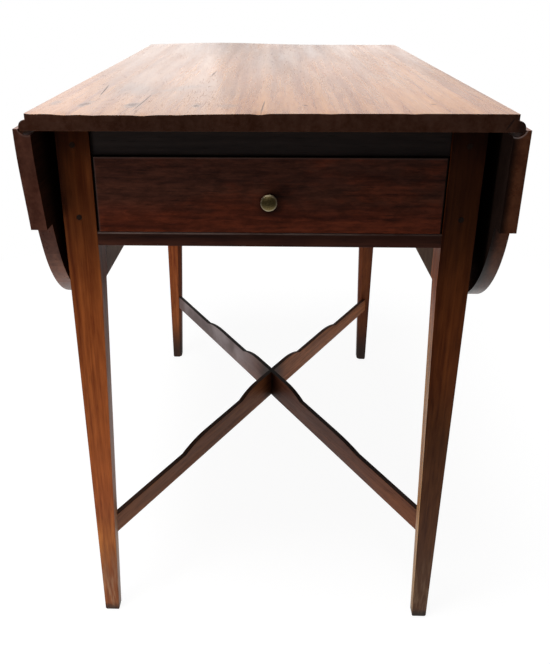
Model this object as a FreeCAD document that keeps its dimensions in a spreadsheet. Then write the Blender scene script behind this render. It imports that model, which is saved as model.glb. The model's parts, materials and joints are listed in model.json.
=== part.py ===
import FreeCAD, Part
import math
import os
from types import SimpleNamespace

import Sketcher

# A pembroke table: a fixed top with two hinged drop leaves, four tapered legs,
# rails with one drawer, crossed stretchers and a swinging bracket under each leaf.
# Frame: origin on the floor under the middle of the top, +X right, +Y away from
# the drawer end, +Z up. The leaves hang down and the drawer is shut.

# Sizes in millimetres
SIZES = {
    # top and leaves
    "table_height": 711.0,
    "top_length": 905.0,
    "top_width": 508.0,
    "top_thickness": 18.0,
    "rule_radius": 7.5,
    "rule_gap": 1.5,
    "lip_gap": 2.0,
    "pin_rise": 4.0,
    "leaf_drop": 239.0,
    "leaf_step_drop": 111.0,
    "leaf_step_in": 19.0,
    "leaf_corner_radius": 155.0,
    # legs
    "leaf_clearance": 17.5,
    "end_overhang": 29.5,
    "leg_size": 37.0,
    "leg_chamfer": 9.0,
    "foot_size": 20.0,
    "foot_chamfer": 5.0,
    "foot_round": 4.5,
    # rails and their tenons
    "rail_depth": 182.0,
    "rail_thickness": 22.5,
    "end_rail_thickness": 20.0,
    "end_rail_setback": 3.0,
    "upper_rail_height": 32.0,
    "upper_rail_depth": 55.0,
    "upper_rail_setback": 4.0,
    "lower_rail_height": 16.0,
    "lower_rail_depth": 60.0,
    "tenon_length": 14.0,
    "tenon_thickness": 10.0,
    "tenon_inset": 4.0,
    "rail_tenon_shoulder": 14.0,
    "drawer_rail_tenon_shoulder": 3.0,
    # pegs in the leg faces
    "peg_radius": 3.0,
    "peg_length": 60.0,
    "peg_cover": 0.5,
    "peg_proud": 0.4,
    "upper_peg_drop": 20.0,
    "lower_peg_drop": 101.0,
    # drawer and what it runs on
    "drawer_opening": 86.0,
    "drawer_gap": 0.5,
    "drawer_end_gap": 1.8,
    "drawer_back_room": 222.0,
    "drawer_setback": 1.0,
    "drawer_front_thickness": 19.0,
    "drawer_lap": 8.0,
    "drawer_side_thickness": 11.0,
    "drawer_back_thickness": 11.0,
    "drawer_back_drop": 7.0,
    "drawer_bottom_thickness": 6.0,
    "drawer_bottom_rise": 8.0,
    "drawer_groove": 5.0,
    "runner_width": 28.0,
    "runner_height": 18.0,
    "stop_width": 40.0,
    "stop_depth": 12.0,
    "stop_height": 5.0,
    "stop_inset": 85.5,
    # knob
    "knob_diameter": 18.5,
    "knob_projection": 18.5,
    "knob_drop": 4.5,
    "knob_base_diameter": 13.0,
    "knob_base_thickness": 2.0,
    "knob_neck_diameter": 8.0,
    "knob_neck_end": 8.0,
    "knob_rim_start": 12.5,
    "knob_rim_width": 2.5,
    "knob_face_diameter": 15.0,
    "knob_face_rise": 2.3,
    "bolt_radius": 2.0,
    "bolt_depth": 10.0,
    "bolt_gap": 0.05,
    "nut_radius": 4.0,
    "nut_height": 3.0,
    # stretchers
    "stretcher_floor": 132.3,
    "stretcher_thickness": 8.0,
    "stretcher_shift": 6.0,
    "stretcher_end_height": 28.2,
    "stretcher_worn_end_height": 33.0,
    "stretcher_middle_height": 37.7,
    "stretcher_centre_height": 47.7,
    "stretcher_outer_step": 288.0,
    "stretcher_outer_run": 66.0,
    "stretcher_inner_step": 112.0,
    "stretcher_inner_run": 56.0,
    # fly rails and brackets
    "bracket_length": 240.0,
    "bracket_height": 95.0,
    "bracket_gap": 0.6,
    "bracket_pin_radius": 3.0,
    "bracket_pin_depth": 25.0,
    "bracket_grip_radius": 14.0,
    "bracket_grip_inset": 34.0,
    "pin_fit": 0.05,
    # hinges
    "hinge_end": 152.5,
    "hinge_width": 38.0,
    "hinge_plate": 2.2,
    "hinge_top_length": 32.0,
    "hinge_leaf_length": 58.0,
    "hinge_knuckle_radius": 3.2,
    "hinge_pin_radius": 1.5,
    "hinge_gap": 0.4,
    "hinge_recess_gap": 0.2,
    "hinge_groove_gap": 1.4,
    # screws
    "hinge_screw_head": 3.2,
    "hinge_screw_head_depth": 1.6,
    "hinge_screw_shank": 1.6,
    "hinge_screw_length": 12.0,
    "hinge_screw_edge": 8.0,
    "wood_screw_head": 4.0,
    "wood_screw_head_depth": 2.4,
    "wood_screw_shank": 2.0,
    "wood_screw_bite": 11.0,
    "wood_screw_end": 152.5,
    "fly_screw_rise": 40.0,
    "screw_gap": 0.08,
}

doc = FreeCAD.newDocument("pembroke_table")
sheet = doc.addObject("Spreadsheet::Sheet", "Sizes")
for row, (alias, number) in enumerate(SIZES.items(), 1):
    sheet.set(f"A{row}", alias)
    sheet.set(f"B{row}", str(number))
    sheet.setAlias(f"B{row}", alias)
doc.recompute()


class Size:
    """A length or angle: its value now, and the formula that ties it to the sheet."""

    def __init__(self, value, formula):
        self.value = value
        self.formula = formula

    def __add__(self, other):
        other = as_size(other)
        return Size(self.value + other.value, f"({self.formula} + {other.formula})")

    def __sub__(self, other):
        other = as_size(other)
        return Size(self.value - other.value, f"({self.formula} - {other.formula})")

    def __mul__(self, other):
        other = as_size(other)
        return Size(self.value * other.value, f"({self.formula} * {other.formula})")

    def __truediv__(self, other):
        other = as_size(other)
        return Size(self.value / other.value, f"({self.formula} / {other.formula})")

    def __neg__(self):
        return Size(-self.value, f"(0 - {self.formula})")


def as_size(number):
    return number if isinstance(number, Size) else Size(float(number), str(float(number)))


def root(square):
    return Size(math.sqrt(square.value), f"sqrt({square.formula})")


def bearing(y, x):
    """The angle of a plan direction from +X, in degrees."""
    return Size(math.degrees(math.atan2(y.value, x.value)), f"atan2({y.formula}; {x.formula})")


s = SimpleNamespace(**{alias: Size(number, f"Sizes.{alias}") for alias, number in SIZES.items()})
zero = as_size(0)
half_turn = Size(180.0, "180 deg")
nodes = []

# Levels and faces that several pieces share
underside = s.table_height - s.top_thickness
half_length = s.top_length / 2
pin_x = s.top_width / 2
pin_z = underside + s.pin_rise
leaf_inner_x = pin_x - s.pin_rise
leg_x = leaf_inner_x - s.leaf_clearance
leg_y = half_length - s.end_overhang
inner_x = leg_x - s.leg_size
inner_y = leg_y - s.leg_size
rail_bottom = underside - s.rail_depth
rail_outer_x = inner_x + s.rail_thickness
opening_top = underside - s.upper_rail_height
opening_bottom = opening_top - s.drawer_opening
lower_rail_bottom = opening_bottom - s.lower_rail_height
upper_rail_back = s.upper_rail_setback + s.upper_rail_depth - leg_y
lower_rail_back = s.lower_rail_depth - leg_y
end_rail_front = leg_y - s.end_rail_setback - s.end_rail_thickness
hinge_y = half_length - s.hinge_end
wood_screw_y = half_length - s.wood_screw_end

SIDES = (("left", -1), ("right", 1))


# Building blocks


def node(label, piece):
    """Name a finished piece of the table."""
    piece.Label = label
    nodes.append(piece)
    return piece


def both(limit):
    """A span that is even about the middle."""
    return (-limit, limit)


def on_side(sign, low, high):
    """A span of X, low and high from the middle, on the left or right of the table."""
    return (low, high) if sign > 0 else (-high, -low)


def signed(sign, size):
    return size if sign > 0 else -size


def box(name, x, y, z):
    """A square-edged board between two limits on each axis."""
    piece = doc.addObject("Part::Box", name)
    for side, axis, (low, high) in (("Length", "x", x), ("Width", "y", y), ("Height", "z", z)):
        piece.setExpression(side, (high - low).formula)
        piece.setExpression("Placement.Base." + axis, low.formula)
    return piece


TURNS = {
    "x": FreeCAD.Rotation(FreeCAD.Vector(0, 1, 0), 90),
    "y": FreeCAD.Rotation(FreeCAD.Vector(1, 0, 0), -90),
    "z": FreeCAD.Rotation(),
}


def rod(name, axis, start, length, radius):
    """A cylinder along one axis from a start point."""
    piece = doc.addObject("Part::Cylinder", name)
    piece.Placement = FreeCAD.Placement(FreeCAD.Vector(), TURNS[axis])
    piece.setExpression("Radius", radius.formula)
    piece.setExpression("Height", length.formula)
    for letter, size in zip("xyz", start):
        piece.setExpression("Placement.Base." + letter, size.formula)
    return piece


def fuse(name, pieces):
    joined = doc.addObject("Part::MultiFuse", name)
    joined.Shapes = pieces
    joined.Refine = True
    return joined


def cut(name, base, tools):
    piece = doc.addObject("Part::Cut", name)
    piece.Base = base
    piece.Tool = tools[0] if len(tools) == 1 else fuse(name + "_cutters", tools)
    piece.Refine = True
    return piece


def group(name, solids):
    """Several like solids in one piece."""
    piece = doc.addObject("Part::Feature", name)
    piece.Shape = Part.makeCompound(solids)
    return piece


def new_body(name):
    return doc.addObject("PartDesign::Body", name)


def outline(body, name, role, corners, arcs=None, lift=zero):
    """A closed sketch on one of the body's own planes, raised by lift along its normal.

    A corner is (x, y), or (x, y, held) where held names the one distance that is held,
    because an arc sets the other. arcs gives the centre of the arc that follows a corner.
    """
    arcs = arcs or {}
    plane = next(item for item in body.Origin.OriginFeatures if item.Role == role)
    sketch = body.newObject("Sketcher::SketchObject", name)
    sketch.AttachmentSupport = [(plane, "")]
    sketch.MapMode = "FlatFace"
    sketch.setExpression("AttachmentOffset.Base.z", lift.formula)
    points = [FreeCAD.Vector(corner[0].value, corner[1].value, 0) for corner in corners]
    ends = []
    for index, point in enumerate(points):
        after = points[(index + 1) % len(points)]
        if index in arcs:
            ends.append(add_arc(sketch, point, after, arcs[index]))
        else:
            edge = sketch.addGeometry(Part.LineSegment(point, after))
            ends.append((edge, 1, 2))
    for index, (edge, start, end) in enumerate(ends):
        following, first, _ = ends[(index + 1) % len(ends)]
        sketch.addConstraint(Sketcher.Constraint("Coincident", edge, end, following, first))
        corner = corners[index]
        held = corner[2] if len(corner) > 2 else "xy"
        hold(sketch, edge, start, corner[0], corner[1], held)
    return sketch


def add_arc(sketch, before, after, centre):
    """An arc of under half a turn between two points; gives its edge and end numbers."""
    middle = FreeCAD.Vector(centre[0].value, centre[1].value, 0)
    first = math.atan2(before.y - middle.y, before.x - middle.x)
    last = math.atan2(after.y - middle.y, after.x - middle.x)
    forward = (last - first) % (2 * math.pi) < math.pi
    circle = Part.Circle(middle, FreeCAD.Vector(0, 0, 1), (before - middle).Length)
    angles = (first, last) if forward else (last, first)
    edge = sketch.addGeometry(Part.ArcOfCircle(circle, *angles))
    hold(sketch, edge, 3, centre[0], centre[1], "xy")
    return (edge, 1, 2) if forward else (edge, 2, 1)


def hold(sketch, edge, point, x, y, held):
    """Hold a sketch point at its distances from the sketch's origin."""
    for letter, kind, size in (("x", "DistanceX", x), ("y", "DistanceY", y)):
        if letter in held:
            number = sketch.addConstraint(Sketcher.Constraint(kind, -1, 1, edge, point, size.value))
            sketch.setExpression(f"Constraints[{number}]", size.formula)


def pad(body, sketch, length):
    feature = body.newObject("PartDesign::Pad", sketch.Name + "_pad")
    feature.Profile = sketch
    feature.setExpression("Length", length.formula)
    return feature


def place(piece, x=zero, y=zero, z=zero, turn=0.0):
    """Set a piece's place, with a fixed turn about Z in degrees."""
    piece.Placement = FreeCAD.Placement(
        FreeCAD.Vector(), FreeCAD.Rotation(FreeCAD.Vector(0, 0, 1), turn)
    )
    for letter, size in zip("xyz", (x, y, z)):
        piece.setExpression("Placement.Base." + letter, size.formula)


# Screws


def screw(point, direction, head, head_depth, shank, length, gap):
    """A countersunk screw, or with a gap the hole that it fits in."""
    at = FreeCAD.Vector(*(size.value for size in point))
    along = FreeCAD.Vector(*direction)
    cone = Part.makeCone(head.value + gap, shank.value + gap, head_depth.value, at, along)
    stem = Part.makeCylinder(shank.value + gap, length.value + gap, at, along)
    return cone.fuse(stem)


def hinge_screws(name, seats, gap=0.0):
    return group(name, [
        screw(point, direction, s.hinge_screw_head, s.hinge_screw_head_depth,
              s.hinge_screw_shank, s.hinge_screw_length, gap)
        for point, direction in seats
    ])


def wood_screws(name, seats, length, gap=0.0):
    return group(name, [
        screw(point, direction, s.wood_screw_head, s.wood_screw_head_depth,
              s.wood_screw_shank, length, gap)
        for point, direction in seats
    ])


def spread(pitch):
    return (-pitch, zero, pitch)


HOLE = s.screw_gap.value

top_hinge_seats = []
leaf_hinge_seats = {}
for side, sign in SIDES:
    leaf_hinge_seats[side] = []
    for row in (-hinge_y, hinge_y):
        edge_y = s.hinge_width / 2 - s.hinge_screw_edge
        far = pin_x - s.hinge_top_length + s.hinge_screw_edge
        low = pin_z - s.hinge_leaf_length + s.hinge_screw_edge
        for y in (row - edge_y, row + edge_y):
            top_hinge_seats.append(((signed(sign, far), y, underside), (0, 0, 1)))
            leaf_hinge_seats[side].append(((signed(sign, leaf_inner_x), y, low), (sign, 0, 0)))
        middle = low + s.hinge_leaf_length / 2 - s.hinge_screw_edge
        leaf_hinge_seats[side].append(((signed(sign, leaf_inner_x), row, middle), (sign, 0, 0)))

kicker_x = inner_x - s.runner_width / 2
top_screw_seats = [
    ((signed(sign, kicker_x), y, opening_top), (0, 0, 1))
    for _, sign in SIDES for y in spread(wood_screw_y)
]
top_screw_length = s.upper_rail_height + s.wood_screw_bite

runner_screw_z = opening_bottom - s.runner_height / 2
runner_screw_seats = {
    side: [
        ((signed(sign, inner_x - s.runner_width), y, runner_screw_z), (sign, 0, 0))
        for y in spread(wood_screw_y)
    ]
    for side, sign in SIDES
}
runner_screw_length = s.runner_width + s.wood_screw_bite

fly_screw_seats = {
    side: [
        ((signed(sign, leg_x), y, rail_bottom + s.fly_screw_rise), (-sign, 0, 0))
        for y in spread(wood_screw_y)
    ]
    for side, sign in SIDES
}
fly_screw_length = leg_x - rail_outer_x + s.wood_screw_bite


# Hinges: a plate let into the top, a longer plate let into the leaf, and the pin

KNUCKLES = 3


def hinge_recess(name, sign, row):
    """The room that one hinge takes in the underside of the top."""
    half = s.hinge_width / 2 + s.hinge_recess_gap
    inside = pin_x - s.hinge_top_length - s.hinge_recess_gap
    slot = box(
        name + "_slot",
        on_side(sign, inside, pin_x + s.rule_radius + s.hinge_gap),
        (row - half, row + half),
        (underside - s.hinge_recess_gap, underside + s.hinge_plate + s.hinge_recess_gap),
    )
    groove = rod(
        name + "_groove", "y", (signed(sign, pin_x), row - half, pin_z), half * 2,
        s.hinge_knuckle_radius + s.hinge_groove_gap,
    )
    return [slot, groove]


def leaf_recess(name, sign, row):
    """The room that one hinge's long plate takes in the leaf."""
    half = s.hinge_width / 2 + s.hinge_recess_gap
    return box(
        name,
        on_side(sign, leaf_inner_x - s.hinge_recess_gap,
                leaf_inner_x + s.hinge_plate + s.hinge_recess_gap),
        (row - half, row + half),
        (pin_z - s.hinge_leaf_length - s.hinge_recess_gap, pin_z),
    )


def hinge(side, sign, end, row):
    """One table hinge: the top plate, the leaf plate and the pin."""
    name = f"hinge_{side}_{end}"
    half = s.hinge_width / 2
    barrel = s.hinge_width / (2 * KNUCKLES)
    at_x = signed(sign, pin_x)
    axle = s.hinge_pin_radius + s.pin_fit
    free = s.pin_rise + s.hinge_gap
    plate_z = (underside, underside + s.hinge_plate)
    ends = ((row - half, row - barrel - s.hinge_gap), (row + barrel + s.hinge_gap, row + half))
    parts = [box(
        name + "_flat", on_side(sign, pin_x - s.hinge_top_length, pin_x - free - s.hinge_plate),
        (row - half, row + half), plate_z,
    )]
    for index, (low, high) in enumerate(ends):
        parts.append(box(
            f"{name}_ear_{index}", on_side(sign, pin_x - free - s.hinge_plate, pin_x),
            (low, high), plate_z,
        ))
        parts.append(rod(
            f"{name}_barrel_{index}", "y", (at_x, low, pin_z), high - low, s.hinge_knuckle_radius,
        ))
    bore = rod(name + "_bore", "y", (at_x, row - half, pin_z), s.hinge_width, axle)
    holes = hinge_screws(name + "_top_holes", top_hinge_seats, HOLE)
    node(name + "_top_plate", cut(name + "_top_cut", fuse(name + "_top_blank", parts), [bore, holes]))

    plate_x = on_side(sign, leaf_inner_x, leaf_inner_x + s.hinge_plate)
    parts = [
        box(name + "_leaf_flat", plate_x, (row - half, row + half),
            (pin_z - s.hinge_leaf_length, pin_z - free)),
        box(name + "_leaf_neck", plate_x, (row - barrel, row + barrel), (pin_z - free, pin_z)),
        rod(name + "_leaf_barrel", "y", (at_x, row - barrel, pin_z), barrel * 2,
            s.hinge_knuckle_radius),
    ]
    bore = rod(name + "_leaf_bore", "y", (at_x, row - half, pin_z), s.hinge_width, axle)
    holes = hinge_screws(name + "_leaf_holes", leaf_hinge_seats[side], HOLE)
    node(name + "_leaf_plate", cut(name + "_leaf_cut", fuse(name + "_leaf_blank", parts), [bore, holes]))

    node(name + "_pin", rod(
        name + "_axle", "y", (at_x, row - half, pin_z), s.hinge_width, s.hinge_pin_radius,
    ))


HINGE_ROWS = (("front", -hinge_y), ("back", hinge_y))
for side, sign in SIDES:
    for end, row in HINGE_ROWS:
        hinge(side, sign, end, row)


# Top: a board whose long edges are the round half of a rule joint

def top_board():
    body = new_body("top_blank")
    reach = pin_x + root(s.rule_radius * s.rule_radius - s.pin_rise * s.pin_rise)
    fillet_z = pin_z + s.rule_radius
    corners = [
        (-pin_x, s.table_height),
        (-pin_x, fillet_z),
        (-reach, underside, "y"),
        (reach, underside, "y"),
        (pin_x, fillet_z),
        (pin_x, s.table_height),
    ]
    arcs = {1: (-pin_x, pin_z), 3: (pin_x, pin_z)}
    profile = outline(body, "top_profile", "XZ_Plane", corners, arcs, -half_length)
    pad(body, profile, s.top_length)
    tools = [
        hinge_screws("top_hinge_holes", top_hinge_seats, HOLE),
        wood_screws("top_screw_holes", top_screw_seats, top_screw_length, HOLE),
    ]
    for side, sign in SIDES:
        for end, row in HINGE_ROWS:
            tools += hinge_recess(f"top_recess_{side}_{end}", sign, row)
    node("top_board", cut("top_cut", body, tools))


top_board()


# Drop leaves, hanging: the hollow half of the rule joint along the upper edge, and at
# each end a square step and a quarter-round lower corner

def leaf(side, sign):
    body = new_body(f"leaf_{side}_blank")
    bottom = pin_z - s.leaf_drop
    step_z = pin_z - s.leaf_step_drop
    lip_z = pin_z - s.lip_gap
    centre_y = half_length - s.leaf_step_in - s.leaf_corner_radius
    centre_z = bottom + s.leaf_corner_radius
    fall = centre_z - step_z
    start_y = centre_y + root(s.leaf_corner_radius * s.leaf_corner_radius - fall * fall)
    corners = [
        (-half_length, lip_z),
        (-half_length, step_z),
        (-start_y, step_z, "y"),
        (-centre_y, bottom),
        (centre_y, bottom),
        (start_y, step_z, "y"),
        (half_length, step_z),
        (half_length, lip_z),
    ]
    arcs = {2: (-centre_y, centre_z), 4: (centre_y, centre_z)}
    low_x, _ = on_side(sign, leaf_inner_x, leaf_inner_x + s.top_thickness)
    profile = outline(body, f"leaf_{side}_profile", "YZ_Plane", corners, arcs, low_x)
    pad(body, profile, s.top_thickness)
    hollow = rod(
        f"leaf_{side}_hollow", "y", (signed(sign, pin_x), -half_length, pin_z), s.top_length,
        s.rule_radius + s.rule_gap,
    )
    tools = [hollow, hinge_screws(f"leaf_{side}_holes", leaf_hinge_seats[side], HOLE)]
    for end, row in HINGE_ROWS:
        tools.append(leaf_recess(f"leaf_{side}_recess_{end}", sign, row))
    node(f"leaf_{side}", cut(f"leaf_{side}_cut", body, tools))


for side, sign in SIDES:
    leaf(side, sign)


# Rails, each with a thinner tongue through its length that ends in the tenons

peg_x = rail_outer_x - s.peg_cover - s.peg_radius
peg_levels = (underside - s.upper_peg_drop, underside - s.lower_peg_drop)


def pegs(name, gap=0.0):
    solids = []
    for end in (-1, 1):
        start = signed(end, leg_y + s.peg_proud).value
        for _, sign in SIDES:
            for level in peg_levels:
                at = FreeCAD.Vector(signed(sign, peg_x).value, start, level.value)
                along = FreeCAD.Vector(0, -end, 0)
                length = s.peg_length.value + gap
                solids.append(Part.makeCylinder(s.peg_radius.value + gap, length, at, along))
    return group(name, solids)


node("leg_pegs", pegs("pegs"))
peg_holes = pegs("peg_holes", HOLE)

side_rails = {}
for side, sign in SIDES:
    name = f"side_rail_{side}"
    tongue_x = inner_x + s.tenon_inset
    board = box(name + "_board", on_side(sign, inner_x, rail_outer_x), both(inner_y),
                (rail_bottom, underside))
    tongue = box(
        name + "_tongue", on_side(sign, tongue_x, tongue_x + s.tenon_thickness),
        both(inner_y + s.tenon_length),
        (rail_bottom + s.rail_tenon_shoulder, underside - s.rail_tenon_shoulder),
    )
    holes = [
        peg_holes,
        wood_screws(name + "_runner_holes", runner_screw_seats[side], runner_screw_length, HOLE),
        wood_screws(name + "_fly_holes", fly_screw_seats[side], fly_screw_length, HOLE),
    ]
    side_rails[side] = node(name, cut(name + "_cut", fuse(name + "_blank", [board, tongue]), holes))


def cross_rail(name, y, z, tongue_y, shoulder):
    """A rail across the table between two legs."""
    board = box(name + "_board", both(inner_x), y, z)
    tongue = box(name + "_tongue", both(inner_x + s.tenon_length),
                 (tongue_y, tongue_y + s.tenon_thickness), (z[0] + shoulder, z[1] - shoulder))
    return node(name, cut(name + "_cut", fuse(name + "_blank", [board, tongue]), [peg_holes]))


end_rail = cross_rail(
    "end_rail", (end_rail_front, leg_y - s.end_rail_setback), (rail_bottom, underside),
    end_rail_front + s.tenon_inset, s.rail_tenon_shoulder,
)
upper_rail = cross_rail(
    "upper_drawer_rail", (s.upper_rail_setback - leg_y, upper_rail_back), (opening_top, underside),
    s.upper_rail_setback + s.tenon_inset - leg_y, s.drawer_rail_tenon_shoulder,
)
lower_rail = cross_rail(
    "lower_drawer_rail", (-leg_y, lower_rail_back), (lower_rail_bottom, opening_bottom),
    s.upper_rail_setback + s.tenon_inset - leg_y, s.drawer_rail_tenon_shoulder,
)


# Stretchers: two boards on edge, crossed and halved over each other a little to the right
# of the middle. The upper edge of each half climbs in two steps, each a sharp cusp and
# then a low round that runs level into the next stretch. One near half is cut less deep.

leg_there = s.foot_size + (s.leg_size - s.foot_size) * s.stretcher_floor / rail_bottom
stretcher_x = leg_x - leg_there / 2
stretcher_y = leg_y - leg_there / 2
stretcher_reach = root(stretcher_x * stretcher_x + stretcher_y * stretcher_y)
stretcher_turn = bearing(stretcher_y, stretcher_x)


STRETCHER_CUSPS = (2, 4, 6, 8)


def round_centre(cusp, run, low, high):
    """The centre of the arc that climbs from a cusp and is level when it reaches high."""
    rise = high - low
    radius = (run * run + rise * rise) / (rise * 2)
    return (cusp - run, high - radius)


def stretcher_half(end_height):
    """The corners from the end along +X to the middle, and the centres of the two rounds."""
    low = s.stretcher_floor
    end_z = low + end_height
    middle_z = low + s.stretcher_middle_height
    centre_z = low + s.stretcher_centre_height
    outer, inner = s.stretcher_outer_step, s.stretcher_inner_step
    outer_round = round_centre(outer, s.stretcher_outer_run, end_z, middle_z)
    inner_round = round_centre(inner, s.stretcher_inner_run, middle_z, centre_z)
    corners = [
        (stretcher_reach, low),
        (stretcher_reach, end_z),
        (outer, end_z),
        (outer_round[0], middle_z, "x"),
        (inner, middle_z),
        (inner_round[0], centre_z, "x"),
    ]
    return corners, [outer_round, inner_round]


def stretcher_blank(name, turn, near_end_height):
    far, far_rounds = stretcher_half(s.stretcher_end_height)
    near, near_rounds = stretcher_half(near_end_height)
    corners = far + [(-corner[0], *corner[1:]) for corner in reversed(near)]
    centres = far_rounds + [(-x, z) for x, z in reversed(near_rounds)]
    arcs = dict(zip(STRETCHER_CUSPS, centres))
    return edge_board(name, corners, arcs, turn)


def edge_board(name, corners, arcs, turn):
    """A board on edge across the table, turned in plan from +X."""
    body = new_body(name)
    lift = -s.stretcher_thickness / 2
    profile = outline(body, name + "_profile", "XZ_Plane", corners, arcs, lift)
    pad(body, profile, s.stretcher_thickness)
    body.Placement = FreeCAD.Placement(
        FreeCAD.Vector(), FreeCAD.Rotation(FreeCAD.Vector(0, 0, 1), turn.value)
    )
    body.setExpression("Placement.Rotation.Angle", turn.formula)
    body.setExpression("Placement.Base.x", s.stretcher_shift.formula)
    return body


LAP_REACH = 3


def lap(name, low, high, turn):
    """The block that one stretcher takes out of the other where they cross."""
    room = s.stretcher_thickness * LAP_REACH
    corners = [(-room, low), (room, low), (room, high), (-room, high)]
    return edge_board(name, corners, {}, turn)


def stretchers():
    turn_a = stretcher_turn
    turn_b = half_turn - stretcher_turn
    lap_z = s.stretcher_floor + s.stretcher_centre_height / 2
    above = lap("lap_above", lap_z, lap_z + s.stretcher_centre_height, turn_b)
    below = lap("lap_below", lap_z - s.stretcher_centre_height, lap_z, turn_a)
    blank_a = stretcher_blank("stretcher_a_blank", turn_a, s.stretcher_end_height)
    blank_b = stretcher_blank("stretcher_b_blank", turn_b, s.stretcher_worn_end_height)
    a = cut("stretcher_a_cut", blank_a, [above])
    b = cut("stretcher_b_cut", blank_b, [below])
    return node("stretcher_a", a), node("stretcher_b", b)


stretcher_a, stretcher_b = stretchers()


# Legs: a square block at the rails, then a taper on the two inner faces down to a foot
# whose lower edge is worn round

HALFWAY_ROUND = 1 - math.sqrt(0.5)


def leg_section(body, name, across, chamfer, inset, level):
    """A square with its outer corner at the origin and its inner corner cut off."""
    far = across - inset
    corners = [
        (inset, inset),
        (far, inset),
        (far, far - chamfer),
        (far - chamfer, far),
        (inset, far),
    ]
    return outline(body, name, "XY_Plane", corners, lift=level)


def leg(name, x, y, turn, tenons):
    body = new_body(name + "_blank")
    halfway = s.foot_round * HALFWAY_ROUND
    steps = ((s.foot_round, zero), (halfway, halfway), (zero, s.foot_round))
    feet = [
        leg_section(body, f"{name}_foot_{index}", s.foot_size, s.foot_chamfer, inset, level)
        for index, (inset, level) in enumerate(steps)
    ]
    knee = leg_section(body, name + "_knee", s.leg_size, s.leg_chamfer, zero, rail_bottom)
    taper = body.newObject("PartDesign::AdditiveLoft", name + "_taper")
    taper.Profile = feet[0]
    taper.Sections = feet[1:] + [knee]
    taper.Ruled = True
    square = [(zero, zero), (s.leg_size, zero), (s.leg_size, s.leg_size), (zero, s.leg_size)]
    block = outline(body, name + "_block", "XY_Plane", square, lift=rail_bottom)
    pad(body, block, s.rail_depth)
    place(body, x, y, zero, turn)
    node(name, cut(name + "_cut", body, tenons + [peg_holes]))


front_rails = [upper_rail, lower_rail]
leg("leg_front_left", -leg_x, -leg_y, 0, front_rails + [side_rails["left"], stretcher_a])
leg("leg_front_right", leg_x, -leg_y, 90, front_rails + [side_rails["right"], stretcher_b])
leg("leg_back_right", leg_x, leg_y, 180, [end_rail, side_rails["right"], stretcher_a])
leg("leg_back_left", -leg_x, leg_y, 270, [end_rail, side_rails["left"], stretcher_b])


# Drawer runners and kickers along the side rails, and the screws through them

for side, sign in SIDES:
    span = on_side(sign, inner_x - s.runner_width, inner_x)
    runner = box(f"runner_{side}_board", span, (lower_rail_back, end_rail_front),
                 (opening_bottom - s.runner_height, opening_bottom))
    holes = wood_screws(f"runner_{side}_holes", runner_screw_seats[side], runner_screw_length, HOLE)
    node(f"drawer_runner_{side}", cut(f"runner_{side}_cut", runner, [holes]))
    kicker = box(f"kicker_{side}_board", span, (upper_rail_back, end_rail_front),
                 (opening_top, underside))
    holes = wood_screws(f"kicker_{side}_holes", top_screw_seats, top_screw_length, HOLE)
    node(f"drawer_kicker_{side}", cut(f"kicker_{side}_cut", kicker, [holes]))

runner_seats = runner_screw_seats["left"] + runner_screw_seats["right"]
node("runner_screws", wood_screws("runner_screw_group", runner_seats, runner_screw_length))
node("top_screws", wood_screws("top_screw_group", top_screw_seats, top_screw_length))
node("top_hinge_screws", hinge_screws("top_hinge_screw_group", top_hinge_seats))
for side, sign in SIDES:
    seats = leaf_hinge_seats[side]
    node(f"leaf_{side}_hinge_screws", hinge_screws(f"leaf_{side}_screw_group", seats))


# Drawer

drawer_x = inner_x - s.drawer_end_gap
drawer_inner_x = drawer_x - s.drawer_side_thickness
drawer_front_y = s.drawer_setback - leg_y
drawer_back_y = end_rail_front - s.drawer_back_room
drawer_low = opening_bottom + s.drawer_gap
drawer_high = opening_top - s.drawer_gap
bottom_low = drawer_low + s.drawer_bottom_rise
bottom_high = bottom_low + s.drawer_bottom_thickness
knob_z = (drawer_low + drawer_high) / 2 - s.knob_drop
front_inside_y = drawer_front_y + s.drawer_front_thickness


def drawer():
    bottom = node("drawer_bottom", box(
        "drawer_bottom_board", both(drawer_inner_x + s.drawer_groove),
        (front_inside_y - s.drawer_groove, drawer_back_y), (bottom_low, bottom_high),
    ))
    sides = []
    for side, sign in SIDES:
        board = box(
            f"drawer_side_{side}_board", on_side(sign, drawer_inner_x, drawer_x),
            (drawer_front_y + s.drawer_lap, drawer_back_y), (drawer_low, drawer_high),
        )
        sides.append(node(f"drawer_side_{side}", cut(f"drawer_side_{side}_cut", board, [bottom])))
    node("drawer_back", box(
        "drawer_back_board", both(drawer_inner_x),
        (drawer_back_y - s.drawer_back_thickness, drawer_back_y),
        (bottom_high, drawer_high - s.drawer_back_drop),
    ))
    front = box("drawer_front_board", both(drawer_x), (drawer_front_y, front_inside_y),
                (drawer_low, drawer_high))
    bolt_hole = rod("drawer_bolt_hole", "y", (zero, drawer_front_y, knob_z),
                    s.drawer_front_thickness, s.bolt_radius + s.bolt_gap)
    lap_blocks = [
        box(f"drawer_lap_{side}", on_side(sign, drawer_inner_x, drawer_x),
            (drawer_front_y + s.drawer_lap, front_inside_y), (drawer_low, drawer_high))
        for side, sign in SIDES
    ]
    node("drawer_front", cut("drawer_front_cut", front, lap_blocks + [bottom, bolt_hole]))


drawer()

stop_x = inner_x - s.stop_inset
stops = [
    box(f"stop_{side}", on_side(sign, stop_x - s.stop_width / 2, stop_x + s.stop_width / 2),
        (front_inside_y + s.drawer_gap, front_inside_y + s.drawer_gap + s.stop_depth),
        (opening_bottom, opening_bottom + s.stop_height))
    for side, sign in SIDES
]
stop_pair = doc.addObject("Part::Compound", "stop_pair")
stop_pair.Links = stops
node("drawer_stops", stop_pair)


# Knob: a turned brass knob with a rim round a low domed face, bolted through the front

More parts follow.
